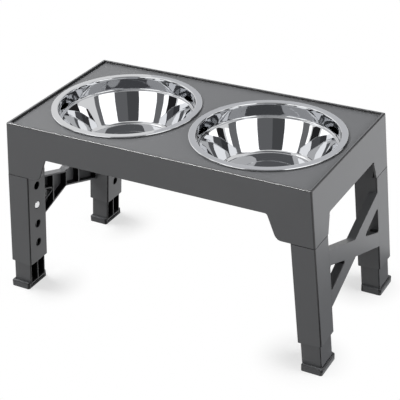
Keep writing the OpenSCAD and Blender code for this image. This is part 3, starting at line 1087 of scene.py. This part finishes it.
@dataclass(frozen=True)
class Studio:
    """A white floor and background, soft lamps, and the cards that polished steel reflects.

    Attributes:
        floor_size: Side of the floor.
        floor_white: The paper's colour to the eye.
        floor_bounce: The paper's colour as a light on the object.
        floor_glow: Share of the white that no shadow takes away from the paper at the feet.
        foot: Middle of each foot's shadow on the floor plan, to both sides of the middle.
        shadow_near: How far from there that share begins to rise.
        shadow_far: Where it has reached 1, so that the paper beyond is plain white.
        lamps: The soft lamps.
        cards: The cards. Most stand where the bowls mirror them in the photograph's pale and dark columns.
            card_rim gives the front rim its bright line.
    """

    floor_size: float = 40
    floor_white: str = "#f2f2f2"
    floor_bounce: str = "#3c3c3c"
    floor_glow: float = 0.62
    foot: Plan = (0.205, 0.100)
    shadow_near: float = 0.005
    shadow_far: float = 0.075
    lamps: tuple[Softbox, ...] = (
        Softbox("left_box", -90, 50, 2.0, 1.0, 12.9),
        Softbox("front_box", 0, 30, 2.0, 1.0, 4.3),
        Softbox("right_box", 100, 15, 1.5, 0.8, 9.8),
    )
    cards: tuple[Card, ...] = (
        Card("card_camera_left", (0.012, -0.924), (0.318, -0.683), 0.22, 1.1, Tone.SHADE),
        Card("card_camera_right", (0.318, -0.683), (0.600, -0.460), 0.22, 1.1, Tone.DARK),
        Card("card_right_white", (0.600, -0.460), (0.400, 0.010), 0.22, 1.0, Tone.WHITE, 2.0),
        Card("card_left_white", (-0.522, -0.746), (0.012, -0.924), 0.22, 1.1, Tone.WHITE, 2.0),
        Card("card_right_grey", (0.400, 0.010), (0.460, 0.100), 0.22, 0.9, Tone.MID),
        Card("card_left_grey", (-0.700, -0.620), (-0.522, -0.746), 0.22, 0.9, Tone.MID),
        Card("card_right_far", (0.999, 0.052), (0.956, 0.292), 0.36, 0.64, Tone.WHITE, 2.0),
        Card("card_right_black", (0.940, 0.342), (0.848, 0.530), 0.30, 0.62, Tone.BLACK),
        Card("card_right_side", (0.848, 0.530), (0.669, 0.743), 0.30, 0.62, Tone.WHITE, 2.0),
        Card("card_back_black", (0.669, 0.743), (0.174, 0.985), 0.30, 1.05, Tone.BLACK),
        Card("card_left_far", (-0.985, -1.261), (-1.294, -0.940), 0.56, 1.04, Tone.WHITE, 2.0),
        Card("card_left_black", (-0.995, -0.671), (-1.141, -0.371), 0.30, 0.80, Tone.BLACK),
        Card("card_left_side", (-1.159, -0.311), (-1.159, 0.311), 0.30, 0.70, Tone.WHITE, 2.0),
        Card("card_left_key", (-1.449, -0.388), (-1.410, 0.513), 1.89, 3.04, Tone.WHITE, 2.0),
        Card("card_right_key", (1.149, -0.964), (1.449, -0.388), 1.57, 2.14, Tone.WHITE, 2.0),
        Card("card_above", (-0.360, -0.360), (0.360, 0.360), 1.3, 1.3, Tone.MID),
        Card("card_back", (-0.450, 0.620), (0.100, 0.620), 0.42, 1.0, Tone.PALE),
        # Painted shade: a black sheet on the floor beside the right end, seen only in reflections, stands
        # in for the shaded floor that the end faces mirror.
        Card("card_floor_shade", (0.245, -0.250), (0.480, 0.200), 0.002, 0.002, Tone.BLACK),
        Card("card_rim", (-1.800, -2.600), (-0.350, -0.700), 2.2, 2.2, Tone.WHITE, 44.0, True),
    )

    def shown(self, tree: bpy.types.NodeTree) -> bpy.types.NodeSocket:
        """Gives 1 for a ray from the camera, a reflection or a glass, and 0 for the light on a surface.

        Args:
            tree: The node tree to add to.

        Returns:
            The output that holds it.
        """
        path = add_node(tree, "ShaderNodeLightPath")
        first = add_node(tree, "ShaderNodeMath",
                         {0: path.outputs["Is Camera Ray"], 1: path.outputs["Is Glossy Ray"]},
                         operation="MAXIMUM")
        both = add_node(tree, "ShaderNodeMath",
                        {0: first.outputs[0], 1: path.outputs["Is Transmission Ray"]},
                        operation="MAXIMUM")
        return both.outputs[0]

    def build_world(self) -> None:
        """Makes the background white to the eye, with no light of its own on the object."""
        world = bpy.data.worlds.new("studio")
        bpy.context.scene.world = world
        world.use_nodes = True
        tree = world.node_tree
        tree.nodes.clear()
        sky = add_node(tree, "ShaderNodeBackground",
                       {"Color": linear(Tone.WHITE.value), "Strength": self.shown(tree)})
        add_node(tree, "ShaderNodeOutputWorld", {"Surface": sky.outputs["Background"]})

    def build_floor(self) -> None:
        """Makes the white floor, which keeps a pale shadow of the object."""
        deselect_all()
        bpy.ops.mesh.primitive_plane_add(size=self.floor_size)
        floor = bpy.context.object
        floor.name = "studio_floor"
        paint = blank_material("white_paper")
        tree = paint.node_tree
        shown = self.shown(tree)
        tint = add_node(tree, "ShaderNodeMix", {"Factor": shown, "A": linear(self.floor_bounce),
                                                "B": linear(self.floor_white)}, data_type="RGBA")
        paper = add_node(tree, "ShaderNodeBsdfDiffuse", {"Color": tint.outputs["Result"]})
        glow = add_node(tree, "ShaderNodeEmission", {"Color": linear(Tone.WHITE.value), "Strength": 1.0})
        place = add_node(tree, "ShaderNodeTexCoord").outputs["Object"]
        quarter = add_node(tree, "ShaderNodeVectorMath", {0: place}, operation="ABSOLUTE")
        reach = add_node(tree, "ShaderNodeVectorMath", {0: quarter.outputs["Vector"], 1: (*self.foot, 0)},
                         operation="DISTANCE")
        white = add_node(tree, "ShaderNodeMapRange",
                         {"Value": reach.outputs["Value"], "From Min": self.shadow_near,
                          "From Max": self.shadow_far, "To Min": self.floor_glow, "To Max": 1.0},
                         interpolation_type="SMOOTHSTEP")
        share = add_node(tree, "ShaderNodeMath", {0: shown, 1: white.outputs["Result"]},
                         operation="MULTIPLY")
        mixed = add_node(tree, "ShaderNodeMixShader", {0: share.outputs[0], 1: paper.outputs["BSDF"],
                                                       2: glow.outputs["Emission"]})
        add_node(tree, "ShaderNodeOutputMaterial", {"Surface": mixed.outputs["Shader"]})
        floor.data.materials.append(paint)
        floor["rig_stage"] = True

    def build(self) -> None:
        """Builds the whole studio."""
        self.build_world()
        self.build_floor()
        for piece in (*self.lamps, *self.cards):
            piece.build()


def main() -> None:
    """Builds the feeder and its studio."""
    logging.basicConfig(level=logging.INFO, format="%(name)s: %(message)s")
    Feeder().build()
    PhotoCamera().build()
    Studio().build()
    deselect_all()
    bpy.context.scene.view_settings.view_transform = "Standard"


if __name__ == "__main__":
    main()
